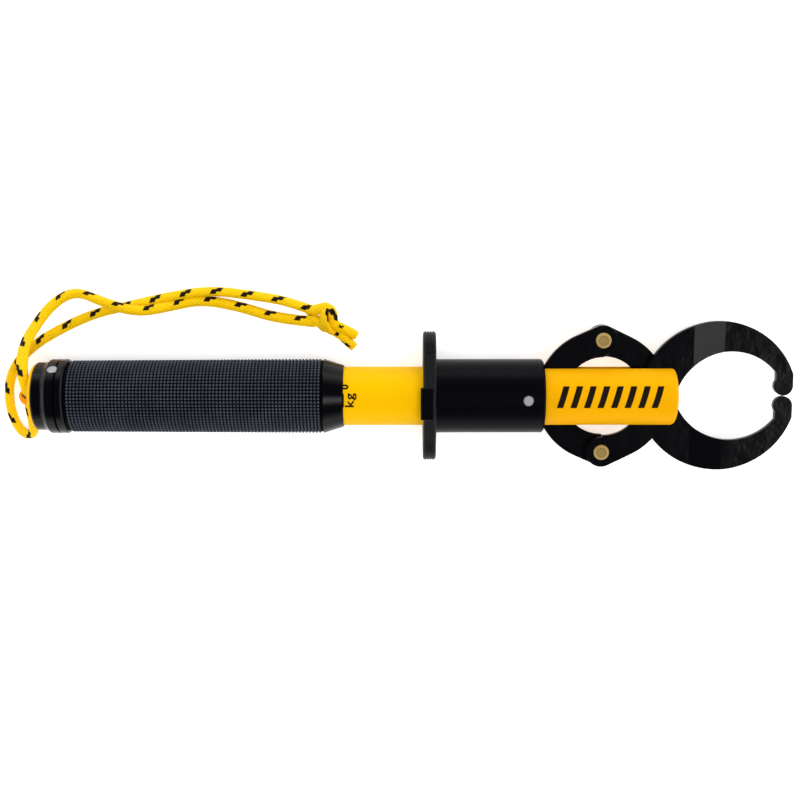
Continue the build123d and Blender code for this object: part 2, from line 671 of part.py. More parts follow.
# ---------------------------------------------------------------- lanyard
# One braided cord runs through the eye. Its two legs lie on the surface beside the handle and
# end in one overhand knot with two cut tails. The upper leg passes over the lower one twice.
CORD_Z = CORD_R + 0.05
HUMP_Z = 8.0
LEG_OVER = [
    (EYE_HOLE_X, 0.0, AXIS_Z),
    (EYE_HOLE_X, 4.6, AXIS_Z + 4.6),
    (-129.8, 11.4, 15.2),
    (-130.2, 18.0, 9.2),
    (-126.4, 24.8, 3.6),
    (-120.8, 31.6, CORD_Z),
    (-113.0, 35.2, 2.6),
    (-103.4, 31.4, HUMP_Z),
    (-91.8, 27.8, HUMP_Z),
    (-80.6, 29.8, 2.2),
    (-70.4, 31.8, CORD_Z),
    (-57.0, 28.6, CORD_Z),
    (-44.0, 25.3, CORD_Z),
    (-31.0, 24.2, 2.2),
]
LEG_UNDER = [
    (EYE_HOLE_X, 0.0, AXIS_Z),
    (EYE_HOLE_X - 0.9, -3.8, AXIS_Z - 3.4),
    (-128.5, -10.6, 6.6),
    (-129.6, -15.0, 3.4),
    (-134.4, -14.6, CORD_Z),
    (-137.8, -7.4, CORD_Z),
    (-138.4, 1.6, CORD_Z),
    (-136.0, 9.6, CORD_Z),
    (-128.8, 16.6, CORD_Z),
    (-118.2, 22.3, CORD_Z),
    (-107.2, 27.2, CORD_Z),
    (-95.0, 30.2, CORD_Z),
    (-81.6, 33.4, CORD_Z),
    (-66.6, 35.2, CORD_Z),
    (-51.6, 33.2, CORD_Z),
    (-40.4, 31.4, CORD_Z),
    (-31.0, 27.9, 2.2),
]


def cord_tube(name, points):
    """Tube along straight runs joined by tangent arcs, each as large as its runs allow."""
    corners = [Vector(*p) for p in points]
    radii = []
    for before, here, after in zip(corners, corners[1:], corners[2:]):
        run_in = here - before
        run_out = after - here
        angle = radians(run_in.get_angle(run_out))
        radii.append(0.45 * min(run_in.length, run_out.length) / tan(angle / 2))
    with BuildPart() as tube:
        with BuildLine() as route:
            FilletPolyline(*corners, radius=radii)
        wire = route.wires()[0]
        with BuildSketch(Plane(origin=wire @ 0, z_dir=wire % 0)):
            Circle(CORD_R)
        sweep(path=wire)
    swept = pi * CORD_R**2 * wire.length
    print(name, "length", round(wire.length, 1), "volume ratio", round(tube.part.volume / swept, 4))
    print(name, "radii", [round(r, 1) for r in radii])
    return tube


cord_leg_over = cord_tube("cord_leg_over", LEG_OVER)
save(cord_leg_over, "cord_leg_over")
cord_leg_under = cord_tube("cord_leg_under", LEG_UNDER)
save(cord_leg_under, "cord_leg_under")

KNOT_REAR_X = -31.4
KNOT_FRONT_X = -22.9
KNOT_LOW_Y = 19.4
KNOT_HIGH_Y = 31.2
KNOT_BOTTOM = 0.1
KNOT_TOP = 7.6
with BuildPart() as lanyard_knot:
    with BuildSketch(Plane.XY.offset(KNOT_BOTTOM)):
        with Locations(((KNOT_REAR_X + KNOT_FRONT_X) / 2, (KNOT_LOW_Y + KNOT_HIGH_Y) / 2)):
            RectangleRounded(KNOT_FRONT_X - KNOT_REAR_X, KNOT_HIGH_Y - KNOT_LOW_Y, 2.5)
    extrude(amount=KNOT_TOP - KNOT_BOTTOM)
    rims = lanyard_knot.edges().group_by(Axis.Z)
    fillet(rims[0] + rims[-1], KNOT_EDGE)
save(lanyard_knot, "lanyard_knot")

with BuildPart() as lanyard_tails:
    for start, end in (
        (Vector(-24.0, 23.8, 2.8), Vector(-16.4, 19.2, CORD_Z)),
        (Vector(-24.0, 20.6, 2.4), Vector(-17.4, 14.9, CORD_Z)),
    ):
        with BuildSketch(Plane(origin=start, z_dir=end - start)):
            Circle(CORD_R)
        extrude(amount=(end - start).length)
save(lanyard_tails, "lanyard_tails")
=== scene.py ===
"""Looks of the fishing lip grip: camera, lanyard, studded grip, scale print and materials."""
import json
import math

import bmesh
import bpy
import numpy as np
from mathutils import Matrix, Vector


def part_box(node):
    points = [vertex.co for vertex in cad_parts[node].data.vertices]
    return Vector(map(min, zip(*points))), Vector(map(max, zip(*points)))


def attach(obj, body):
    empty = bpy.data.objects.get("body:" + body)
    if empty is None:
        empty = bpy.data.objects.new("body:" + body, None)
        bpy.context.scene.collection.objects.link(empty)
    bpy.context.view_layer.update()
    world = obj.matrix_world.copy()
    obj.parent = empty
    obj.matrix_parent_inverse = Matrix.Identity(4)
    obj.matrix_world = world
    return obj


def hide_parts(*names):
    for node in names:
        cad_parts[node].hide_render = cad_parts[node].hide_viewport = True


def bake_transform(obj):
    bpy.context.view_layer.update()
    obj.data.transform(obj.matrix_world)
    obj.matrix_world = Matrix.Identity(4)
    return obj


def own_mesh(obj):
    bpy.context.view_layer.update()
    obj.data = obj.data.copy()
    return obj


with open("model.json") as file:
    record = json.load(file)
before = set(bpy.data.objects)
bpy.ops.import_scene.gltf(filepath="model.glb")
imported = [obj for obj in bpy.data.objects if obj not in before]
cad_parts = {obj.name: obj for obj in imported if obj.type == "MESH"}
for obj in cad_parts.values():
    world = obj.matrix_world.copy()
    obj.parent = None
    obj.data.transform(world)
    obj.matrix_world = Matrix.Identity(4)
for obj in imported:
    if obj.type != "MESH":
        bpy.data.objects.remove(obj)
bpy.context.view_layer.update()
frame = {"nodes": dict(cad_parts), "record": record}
nodes = frame["nodes"]
MM = 0.001


# ---------------------------------------------------------------- places read from the frame
def middle(node):
    """Centre of a CAD node's box."""
    low, high = (Vector(corner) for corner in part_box(node))
    return (low + high) / 2


AXIS_Z = middle("scale_barrel").z
BARREL_R = (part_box("scale_barrel")[1][1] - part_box("scale_barrel")[0][1]) / 2
HEAD_R = 9.95 * MM      # the jaw head's outside, where its print lies


# ---------------------------------------------------------------- camera
def make_camera():
    """Looks down on the tool, leaning a little towards +Y."""
    distance = 437.2 * MM
    lean = math.radians(8.5)
    roll = math.radians(-0.04)
    aim = Vector((-1.8 * MM, -1.45 * MM, AXIS_Z))
    data = bpy.data.cameras.new("camera")
    data.lens = 57.87
    data.sensor_width = 36.0
    data.clip_start = 0.01
    camera = bpy.data.objects.new("camera", data)
    bpy.context.collection.objects.link(camera)
    camera.location = aim + distance * Vector((0, math.sin(lean), math.cos(lean)))
    camera.rotation_euler = (-lean, 0, roll)
    bpy.context.scene.camera = camera


make_camera()


# ---------------------------------------------------------------- mesh helpers
def new_piece(name, verts, faces, material=None, smooth=True):
    """Mesh object from arrays of corners and faces."""
    mesh = bpy.data.meshes.new(name)
    mesh.from_pydata([tuple(v) for v in verts], [], [tuple(f) for f in faces])
    mesh.update()
    if smooth:
        mesh.polygons.foreach_set("use_smooth", [True] * len(mesh.polygons))
    piece = bpy.data.objects.new(name, mesh)
    bpy.context.collection.objects.link(piece)
    if material:
        mesh.materials.append(material)
    return piece


def float_layer(piece, name, values):
    """Stores one number per vertex for the material to read."""
    layer = piece.data.attributes.new(name, "FLOAT", "POINT")
    layer.data.foreach_set("value", np.asarray(values, dtype=np.float32).ravel())


# ---------------------------------------------------------------- node helpers
def maths(tree, operation, a, b):
    """One maths node of a node tree, between sockets or numbers."""
    made = tree.nodes.new("ShaderNodeMath")
    made.operation = operation
    for socket, value in zip(made.inputs, (a, b)):
        if isinstance(value, (int, float)):
            socket.default_value = value
        else:
            tree.links.new(value, socket)
    return made.outputs[0]


class Shader:
    """A material under construction, with its Principled shader and short calls for nodes."""

    def __init__(self, name):
        self.material = bpy.data.materials.new(name)
        self.material.use_nodes = True
        self.tree = self.material.node_tree
        self.surface = self.tree.nodes["Principled BSDF"]

    def set(self, **sockets):
        for name, value in sockets.items():
            self.surface.inputs[name.replace("_", " ")].default_value = value

    def node(self, kind, **settings):
        made = self.tree.nodes.new(kind)
        for name, value in settings.items():
            setattr(made, name, value)
        return made

    def link(self, source, target):
        self.tree.links.new(source, target)

    def math(self, operation, a, b):
        return maths(self.tree, operation, a, b)

    def noise(self, scale, detail, roughness, vector):
        made = self.node("ShaderNodeTexNoise")
        made.inputs["Scale"].default_value = scale
        made.inputs["Detail"].default_value = detail
        made.inputs["Roughness"].default_value = roughness
        self.link(vector, made.inputs["Vector"])
        return made.outputs["Fac"]

    def coords(self, scale=(1, 1, 1)):
        source = self.node("ShaderNodeTexCoord")
        mapping = self.node("ShaderNodeMapping")
        mapping.inputs["Scale"].default_value = scale
        self.link(source.outputs["Object"], mapping.inputs["Vector"])
        return mapping.outputs["Vector"]

    def ramp(self, factor, stops):
        """Colour ramp from (position, colour) stops."""
        made = self.node("ShaderNodeValToRGB")
        ramp = made.color_ramp
        while len(ramp.elements) < len(stops):
            ramp.elements.new(0.5)
        for element, (position, colour) in zip(ramp.elements, stops):
            element.position = position
            element.color = (*colour, 1.0)
        self.link(factor, made.inputs["Fac"])
        return made.outputs["Color"]

    def spread(self, factor, low, high, socket):
        """Drives one shader socket between two values."""
        made = self.node("ShaderNodeMapRange")
        made.inputs["To Min"].default_value = low
        made.inputs["To Max"].default_value = high
        self.link(factor, made.inputs["Value"])
        self.link(made.outputs["Result"], self.surface.inputs[socket])

    def bump(self, height, strength, distance):
        made = self.node("ShaderNodeBump")
        made.inputs["Strength"].default_value = strength
        made.inputs["Distance"].default_value = distance
        self.link(height, made.inputs["Height"])
        self.link(made.outputs["Normal"], self.surface.inputs["Normal"])

    def attribute(self, name):
        return self.node("ShaderNodeAttribute", attribute_name=name).outputs["Fac"]


# ---------------------------------------------------------------- lanyard
CORD_R = 1.65 * MM

# The routes of the two legs, in millimetres
CORD_Z = 1.70     # axis of a cord that lies on the floor
HUMP_Z = 5.7      # axis where one leg passes over the other
EYE_X = -128.0
EYE_Z = 12.6
LEG_OVER = [
    (EYE_X, 0.0, EYE_Z),
    (EYE_X, 4.6, EYE_Z + 4.6),
    (-129.3, 11.4, 15.2),
    (-129.5, 17.8, 9.2),
    (-126.1, 24.8, 3.6),
    (-120.6, 31.5, CORD_Z),
    (-112.9, 35.0, 2.4),
    (-103.4, 31.4, HUMP_Z),
    (-91.8, 27.8, HUMP_Z),
    (-80.6, 29.8, 2.2),
    (-70.4, 32.0, CORD_Z),
    (-57.0, 29.6, CORD_Z),
    (-44.0, 25.3, CORD_Z),
    (-31.0, 24.2, 2.2),
]
LEG_UNDER = [
    (EYE_X, 0.0, EYE_Z),
    (-128.9, -3.8, EYE_Z - 3.4),
    (-128.5, -10.6, 6.6),
    (-129.6, -15.0, 3.4),
    (-134.2, -14.6, CORD_Z),
    (-137.6, -7.4, CORD_Z),
    (-138.1, 1.6, CORD_Z),
    (-135.5, 9.4, CORD_Z),
    (-128.6, 16.4, CORD_Z),
    (-118.2, 22.3, CORD_Z),
    (-107.2, 27.2, CORD_Z),
    (-95.0, 29.9, CORD_Z),
    (-81.6, 33.0, CORD_Z),
    (-66.6, 35.2, CORD_Z),
    (-51.6, 33.2, CORD_Z),
    (-40.4, 31.4, CORD_Z),
    (-31.0, 27.9, 2.2),
]


RING_STEP = 0.22 * MM    # length along a leg between two rings of its mesh


def route_line(name, points):
    """Evenly spaced points along the smooth line of a cord's route."""
    curve = bpy.data.curves.new(name, "CURVE")
    curve.dimensions = "3D"
    curve.resolution_u = 24
    spline = curve.splines.new("NURBS")
    spline.points.add(len(points) - 1)
    for point, place in zip(spline.points, points):
        point.co = (*(Vector(place) * MM), 1.0)
    spline.order_u = 3
    spline.use_endpoint_u = True
    holder = bpy.data.objects.new(name, curve)
    bpy.context.collection.objects.link(holder)
    bare = bpy.data.meshes.new_from_object(holder)
    line = np.array([v.co[:] for v in bare.vertices])
    bpy.data.objects.remove(holder)
    steps = np.r_[0, np.cumsum(np.linalg.norm(np.diff(line, axis=0), axis=1))]
    count = int(steps[-1] / RING_STEP) + 2
    even = np.linspace(0, steps[-1], count)
    return np.stack([np.interp(even, steps, line[:, k]) for k in range(3)], axis=1)


def carried_frames(line):
    """Normals and binormals carried along a line without twist."""
    tangent = np.gradient(line, axis=0)
    tangent /= np.linalg.norm(tangent, axis=1, keepdims=True)
    up = np.array((0.0, 0.0, 1.0))
    if abs(tangent[0] @ up) > 0.9:
        up = np.array((1.0, 0.0, 0.0))
    normal = np.zeros_like(line)
    normal[0] = up - tangent[0] * (up @ tangent[0])
    normal[0] /= np.linalg.norm(normal[0])
    for i in range(1, len(line)):
        n = normal[i - 1] - tangent[i] * (normal[i - 1] @ tangent[i])
        normal[i] = n / np.linalg.norm(n)
    return normal, np.cross(tangent, normal)


BRAID_STRANDS = 8           # strands that wind each way
BRAID_LEAD = 12.0 * MM      # length in which one strand goes round
BRAID_SIDES = 56
BRAID_RELIEF = 0.14 * MM
TRACER_PERIOD = 10.6 * MM   # length between two pairs of dark flecks on one side
FLECK_STEP = 0.90 * MM      # from the middle of a pair to each fleck, along the cord
FLECK_SHIFT = 0.42 * MM     # the same, round the cord
FLECK_LENGTH = 1.10 * MM    # half a fleck, along the cord
FLECK_WIDTH = 0.98 * MM     # half a fleck, round the cord


def braid_height(angle, along):
    """Relief of a plain braid at an angle and a length along the cord, from 0 to 1."""
    a = BRAID_STRANDS * (angle / (2 * np.pi) + along / BRAID_LEAD)
    b = BRAID_STRANDS * (angle / (2 * np.pi) - along / BRAID_LEAD)
    over = np.mod(np.floor(a) + np.floor(b), 2)
    crown_a = np.sin(np.pi * np.mod(a, 1))
    crown_b = np.sin(np.pi * np.mod(b, 1))
    top = np.where(over > 0.5, crown_a, crown_b)
    other = np.where(over > 0.5, crown_b, crown_a)
    return np.sqrt(np.clip(top, 0, 1)) * (0.72 + 0.28 * other)


def tracer(angle, along):
    """Dark yarns that surface in pairs on opposite sides of the cord in turn, from 0 to 1."""
    shown = np.zeros_like(angle)
    for side, start in ((0.0, 0.0), (math.pi, 0.5)):
        from_pair = (np.mod(along / TRACER_PERIOD - start + 0.5, 1) - 0.5) * TRACER_PERIOD
        around = (np.mod(angle - side + np.pi, 2 * np.pi) - np.pi) * CORD_R
        for step in (-1, 1):
            across = around + step * FLECK_SHIFT
            ds = (from_pair - step * FLECK_STEP + 0.5 * across) / FLECK_LENGTH
            dt = across / FLECK_WIDTH
            inside = 1 - np.maximum(np.abs(ds), np.abs(dt)) ** 3
            shown = np.maximum(shown, np.clip(3.0 * inside, 0, 1))
    return shown


def braided(name, line, material, turn=0.0, along_start=0.0, taper=None, flat=1.0):
    """Braided cord along a line: a closed tube whose surface carries the braid's relief.

    flat is how much wider than round the soft cord lies, as one number or one for each ring.
    """
    normal, binormal = carried_frames(line)
    rings = len(line)
    steps = np.r_[0, np.cumsum(np.linalg.norm(np.diff(line, axis=0), axis=1))] + along_start
    angle = np.linspace(0, 2 * np.pi, BRAID_SIDES, endpoint=False)
    grid_a, grid_s = np.meshgrid(angle, steps)
    height = braid_height(grid_a + turn, grid_s)
    size = np.ones(rings) if taper is None else taper
    r = (CORD_R - BRAID_RELIEF * (1 - height)) * size[:, None]
    wide = np.broadcast_to(np.asarray(flat, dtype=float), (rings,))[:, None]
    spot = (
        line[:, None, :]
        + (np.cos(grid_a) * r / wide)[..., None] * normal[:, None, :]
        + (np.sin(grid_a) * r * wide)[..., None] * binormal[:, None, :]
    )
    verts = spot.reshape(-1, 3)
    i = np.arange(rings - 1)[:, None] * BRAID_SIDES
    j = np.arange(BRAID_SIDES)[None, :]
    k = (np.arange(BRAID_SIDES)[None, :] + 1) % BRAID_SIDES
    faces = np.stack([i + j, i + k, i + BRAID_SIDES + k, i + BRAID_SIDES + j], axis=-1)
    faces = faces.reshape(-1, 4)[:, ::-1].tolist()
    verts = np.vstack([verts, line[0], line[-1]])
    first, last = len(verts) - 2, len(verts) - 1
    end = (rings - 1) * BRAID_SIDES
    for n in range(BRAID_SIDES):
        m = (n + 1) % BRAID_SIDES
        faces.append([first, m, n][::-1])
        faces.append([last, end + n, end + m][::-1])
    piece = new_piece(name, verts, faces, material)
    float_layer(piece, "height", np.r_[height.ravel(), 0.5, 0.5])
    float_layer(piece, "tracer", np.r_[tracer(grid_a + turn, grid_s).ravel(), 0, 0])
    return piece


def cord_material():
    """Yellow braid with painted shade that darkens it between its strands, and dark flecks."""
    shader = Shader("cord_braid")
    height = shader.attribute("height")
    fibre = shader.noise(2600, 2, 0.6, shader.coords())
    # Painted shade: the colour darkens from the crowns of the strands down into the hollows between
    # them.
    yellow = shader.ramp(
        height,
        [(0.0, (0.34, 0.20, 0.0)), (0.4, (0.72, 0.43, 0.0)), (1.0, (0.90, 0.56, 0.002))],
    )
    mix = shader.node("ShaderNodeMix", data_type="RGBA")
    shader.link(shader.attribute("tracer"), mix.inputs["Factor"])
    shader.link(yellow, mix.inputs["A"])
    mix.inputs["B"].default_value = (0.006, 0.003, 0.002, 1)
    shader.link(mix.outputs["Result"], shader.surface.inputs["Base Color"])
    shader.set(Roughness=0.7, Specular_IOR_Level=0.15)
    shader.bump(fibre, 0.35, 0.05 * MM)
    return shader.material


cord_look = cord_material()
over_line = route_line("over_route", LEG_OVER)
under_line = route_line("under_route", LEG_UNDER)


def lying_width(line, stops):
    """Flatness along a cord from (share of its length, flatness) stops."""
    share = np.linspace(0, 1, len(line))
    return np.interp(share, [stop[0] for stop in stops], [stop[1] for stop in stops])


WIDTH_OVER = [(0.0, 1.0), (0.1, 1.27), (0.29, 1.27), (0.38, 0.98), (0.6, 1.12), (1.0, 1.14)]
WIDTH_UNDER = [(0.0, 1.0), (0.2, 1.04), (0.36, 0.9), (0.48, 0.94), (0.6, 1.12), (1.0, 1.14)]
leg_over = braided(
    "cord_leg_over_braid", over_line, cord_look, turn=0.55,
    flat=lying_width(over_line, WIDTH_OVER),
)
leg_under = braided(
    "cord_leg_under_braid", under_line, cord_look, turn=-0.45, along_start=4 * MM,
    flat=lying_width(under_line, WIDTH_UNDER),
)


def smooth_line(points, steps):
    """Evenly spaced points on a smooth line through a short list of places, in millimetres."""
    places = np.array(points, dtype=float) * MM
    ahead = np.vstack([2 * places[0] - places[1], places, 2 * places[-1] - places[-2]])
    line = []
    for i in range(1, len(ahead) - 2):
        a, b, c, d = ahead[i - 1 : i + 3]
        t = np.linspace(0, 1, 16, endpoint=False)[:, None]
        square = (2 * a - 5 * b + 4 * c - d) * t**2
        cube = (3 * b - a - 3 * c + d) * t**3
        line.append(0.5 * (2 * b + (c - a) * t + square + cube))
    line = np.vstack([*line, places[-1:]])
    walked = np.r_[0, np.cumsum(np.linalg.norm(np.diff(line, axis=0), axis=1))]
    even = np.linspace(0, walked[-1], steps)
    return np.stack([np.interp(even, walked, line[:, k]) for k in range(3)], axis=1)


# The overhand knot, as the strands that show: one over the top and down the front side, one
# broad strand down the middle, and the under leg that goes in beneath them.
KNOT_ARC = [
    (-33.6, 28.6, 2.2), (-31.4, 28.4, 3.6), (-29.2, 29.0, 4.7), (-27.2, 29.4, 5.2), (-25.4, 28.2, 5.2),
    (-24.9, 26.2, 4.8), (-24.8, 24.2, 4.0), (-23.4, 22.9, 3.2), (-21.6, 22.0, 2.6),
]
KNOT_MIDDLE = [
    (-26.6, 27.8, 2.4), (-27.2, 28.6, 4.4), (-27.7, 27.6, 5.9), (-27.8, 25.6, 6.3), (-27.4, 23.6, 5.7),
    (-26.6, 22.0, 4.3), (-25.6, 21.2, 2.6), (-24.4, 20.9, 2.0), (-23.0, 20.2, 1.8),
]
KNOT_UNDER = [
    (-33.4, 25.6, 1.8), (-31.2, 25.05, 2.6), (-29.4, 24.2, 3.4), (-28.0, 22.8, 3.4), (-26.8, 22.2, 2.4),
]
TAIL_OVER = [(-23.4, 22.9, 3.2), (-21.6, 22.0, 2.6), (-19.4, 20.9, 2.0), (-16.7, 19.3, 1.7)]
TAIL_UNDER = [(-24.4, 20.9, 2.0), (-22.4, 19.7, 1.9), (-20.2, 17.8, 1.75), (-17.6, 15.3, 1.7)]


CUT_RINGS = 6      # rings of the mesh over which a cut end draws in
CUT_SHARE = 0.80   # of the full radius, at the cut


def cut_end(steps):
    """Radius along a tail: full, then drawn in a little at the cut."""
    taper = np.ones(steps)
    taper[-CUT_RINGS:] = np.linspace(1.0, CUT_SHARE, CUT_RINGS)
    return taper


knot = braided(
    "lanyard_knot_middle", smooth_line(KNOT_MIDDLE, 120), cord_look, turn=1.9, flat=1.28
)
knot_arc = braided(
    "lanyard_knot_arc", smooth_line(KNOT_ARC, 150), cord_look, turn=0.4, flat=1.1
)
knot_under = braided(
    "lanyard_knot_under", smooth_line(KNOT_UNDER, 80), cord_look, turn=0.9, flat=1.14
)
tail_over = braided(
    "lanyard_tail_over", smooth_line(TAIL_OVER, 70), cord_look, turn=0.3, taper=cut_end(70)
)
tail_under = braided(
    "lanyard_tail_under", smooth_line(TAIL_UNDER, 80), cord_look, turn=2.0, taper=cut_end(80)
)

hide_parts("cord_leg_over")
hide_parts("cord_leg_under")
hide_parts("lanyard_knot")
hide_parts("lanyard_tails")
for piece in (leg_over, leg_under, knot, knot_arc, knot_under, tail_over, tail_under):
    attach(piece, "handle")


# ---------------------------------------------------------------- studded grip
STUD_PITCH = 1.15 * MM
STUD_HEIGHT = 0.46 * MM
GRIP_TOP_REAR = 12.10 * MM
GRIP_TOP_FRONT = 12.58 * MM
GRIP_WALL = 0.6 * MM
GRIP_BAND = 0.9 * MM    # plain band at each end of the studs


def stud_steps(count):
    """Places and heights across a row of studs: flat grooves, sloped sides and flat tops."""
    shares = np.array([0.0, 0.26, 0.42, 0.84])
    levels = np.array([0.0, 0.0, 1.0, 1.0])
    places = (np.arange(count)[:, None] + shares[None, :]).ravel()
    return places, np.tile(levels, count)


def make_grip():
    """The rubber sleeve as a closed tube whose outside is cut into rows of square studs."""
    low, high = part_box("grip_sleeve")
    x_rear, x_front = low[0], high[0]
    band = GRIP_BAND
    rows = int((x_front - x_rear - 2 * band) / STUD_PITCH)
    columns = int(2 * math.pi * GRIP_TOP_REAR / STUD_PITCH)
    x_places, x_levels = stud_steps(rows)
    pitch = (x_front - x_rear - 2 * band) / rows
    xs = np.r_[x_rear, x_rear + band * 0.9, x_rear + band + x_places * pitch]
    xs = np.r_[xs, x_front - band, x_front]
    x_levels = np.r_[0.0, 0.0, x_levels, 0.0, 0.0]
    a_places, a_levels = stud_steps(columns)
    angles = a_places / columns * 2 * math.pi
    share = (xs - x_rear) / (x_front - x_rear)
    top = GRIP_TOP_REAR + (GRIP_TOP_FRONT - GRIP_TOP_REAR) * share
    level = np.minimum(x_levels[:, None], a_levels[None, :])
    r = top[:, None] - STUD_HEIGHT * (1 - level)
    ring = len(angles)
    y = r * np.sin(angles)[None, :]
    z = AXIS_Z + r * np.cos(angles)[None, :]
    x = np.broadcast_to(xs[:, None], r.shape)
    outer = np.stack([x, y, z], axis=-1).reshape(-1, 3)
    r_in = GRIP_TOP_REAR - STUD_HEIGHT - GRIP_WALL
    y_in, z_in = r_in * np.sin(angles), AXIS_Z + r_in * np.cos(angles)
    inner = [np.stack([np.full(ring, x), y_in, z_in], axis=-1) for x in (x_rear, x_front)]
    verts = np.vstack([outer, *inner])
    n_rows = len(xs)
    i = np.arange(n_rows - 1)[:, None] * ring
    j = np.arange(ring)[None, :]
    k = (j + 1) % ring
    faces = np.stack([i + j, i + k, i + ring + k, i + ring + j], axis=-1)
    faces = faces.reshape(-1, 4).tolist()
    rear, front = n_rows * ring, (n_rows + 1) * ring
    last = (n_rows - 1) * ring
    for a in range(ring):
        b = (a + 1) % ring
        faces.append([b, a, rear + a, rear + b])
        faces.append([last + a, last + b, front + b, front + a])
        faces.append([rear + b, rear + a, front + a, front + b])
    piece = new_piece("grip_studs", verts, faces)
    float_layer(piece, "stud", np.r_[level.ravel(), np.zeros(2 * ring)])
    return piece


def rubber_material():
    """Black rubber, paler and bluish on the tops of its studs as a painted highlight, and near-black in
    the grooves as painted shade.
    """
    shader = Shader("grip_rubber")
    stud = shader.attribute("stud")
    # Painted highlight: the tops of the studs get a paler, bluish colour, mottled at random by this
    # noise.
    sheen_mottle = shader.noise(90, 4, 0.6, shader.coords())
    top = shader.ramp(sheen_mottle, [(0.3, (0.036, 0.042, 0.056)), (0.75, (0.070, 0.078, 0.102))])
    mix = shader.node("ShaderNodeMix", data_type="RGBA")
    shader.link(stud, mix.inputs["Factor"])
    # Painted shade: the grooves between the studs are near-black.
    mix.inputs["A"].default_value = (0.0012, 0.0012, 0.002, 1)
    shader.link(top, mix.inputs["B"])
    shader.link(mix.outputs["Result"], shader.surface.inputs["Base Color"])
    shader.spread(stud, 0.7, 0.45, "Roughness")
    shader.set(Specular_IOR_Level=0.04)
    shader.bump(shader.noise(5200, 3, 0.6, shader.coords()), 0.3, 0.03 * MM)
    return shader.material


grip = make_grip()
grip.data.materials.append(rubber_material())
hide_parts("grip_sleeve")
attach(grip, "handle")


# ---------------------------------------------------------------- materials of the CAD nodes
def anodised(name, bright, deep):
    """Amber anodised aluminium with a satin clear skin."""
    shader = Shader(name)
    cloud = shader.noise(45, 3, 0.5, shader.coords())
    colour = shader.ramp(cloud, [(0.3, deep), (0.7, bright)])
    shader.link(colour, shader.surface.inputs["Base Color"])
    shader.set(Specular_IOR_Level=0.04)
    grain = shader.noise(900, 2, 0.6, shader.coords((0.05, 1, 1)))
    shader.spread(grain, 0.40, 0.55, "Roughness")
    shader.bump(grain, 0.08, 0.01 * MM)
    return shader.material


def moulded_black(
    name, base=(0.0016, 0.0016, 0.0026), rough_low=0.15, rough_high=0.24, shine=0.11
):
    """Satin moulding, black unless a colour is given, with faint surface waviness."""
    shader = Shader(name)
    shader.set(Base_Color=(*base, 1), Specular_IOR_Level=shine)
    wave = shader.noise(260, 3, 0.55, shader.coords())
    shader.spread(wave, rough_low, rough_high, "Roughness")
    shader.bump(shader.noise(1900, 3, 0.6, shader.coords()), 0.10, 0.02 * MM)
    return shader.material


def painted_black():
    """Black paint on steel plate, with small scuffs that show brighter metal."""
    shader = Shader("black_paint")
    scuff = shader.noise(420, 6, 0.75, shader.coords())
    mask = shader.ramp(scuff, [(0.69, (0, 0, 0)), (0.735, (1, 1, 1))])
    mix = shader.node("ShaderNodeMix", data_type="RGBA")
    shader.link(mask, mix.inputs["Factor"])
    mix.inputs["A"].default_value = (0.0020, 0.0020, 0.0028, 1)
    mix.inputs["B"].default_value = (0.03, 0.03, 0.034, 1)
    shader.link(mix.outputs["Result"], shader.surface.inputs["Base Color"])
    shader.set(Specular_IOR_Level=0.075)
    flow = shader.noise(150, 3, 0.5, shader.coords())
    shader.spread(flow, 0.14, 0.26, "Roughness")
    ripple = shader.math("MULTIPLY", shader.noise(700, 4, 0.6, shader.coords()), 0.03)
    waves = shader.noise(170, 3, 0.55, shader.coords())
    shader.bump(shader.math("ADD", waves, ripple), 1.0, 0.20 * MM)
    return shader.material


def rivet_brass():
    """Brass with a painted highlight in a bright band near the rim of a rivet's head and a painted
    shaded ring between that band and the middle.
    """
    shader = Shader("brass")
    shader.set(Metallic=0.25)
    across = shader.node("ShaderNodeSeparateXYZ")
    shader.link(shader.node("ShaderNodeTexCoord").outputs["Generated"], across.inputs["Vector"])
    x = shader.math("SUBTRACT", across.outputs["X"], 0.5)
    y = shader.math("SUBTRACT", across.outputs["Y"], 0.5)
    square = shader.math("ADD", shader.math("MULTIPLY", x, x), shader.math("MULTIPLY", y, y))
    radius = shader.math("POWER", square, 0.5)
    middle_colour = (0.27, 0.18, 0.05)
    # Painted shade in a dark ring round the middle, then a painted highlight in a brighter band near
    # the rim.
    rings = [
        (0.26, middle_colour), (0.30, (0.13, 0.08, 0.02)), (0.34, (0.38, 0.26, 0.085)),
        (0.44, (0.42, 0.29, 0.10)), (0.49, middle_colour),
    ]
    shader.link(shader.ramp(radius, rings), shader.surface.inputs["Base Color"])
    grain = shader.noise(1500, 3, 0.6, shader.coords())
    shader.spread(grain, 0.35, 0.60, "Roughness")
    shader.bump(grain, 0.3, 0.02 * MM)
    return shader.material


def bare_metal(name, colour, rough_low, rough_high, stretch=(1, 1, 1), shine=1.0):
    """Bare turned or drawn metal; shine below one is a duller, oxidised skin."""
    shader = Shader(name)
    shader.set(Base_Color=(*colour, 1), Metallic=shine)
    grain = shader.noise(1500, 3, 0.6, shader.coords(stretch))
    shader.spread(grain, rough_low, rough_high, "Roughness")
    shader.bump(grain, 0.15, 0.01 * MM)
    return shader.material


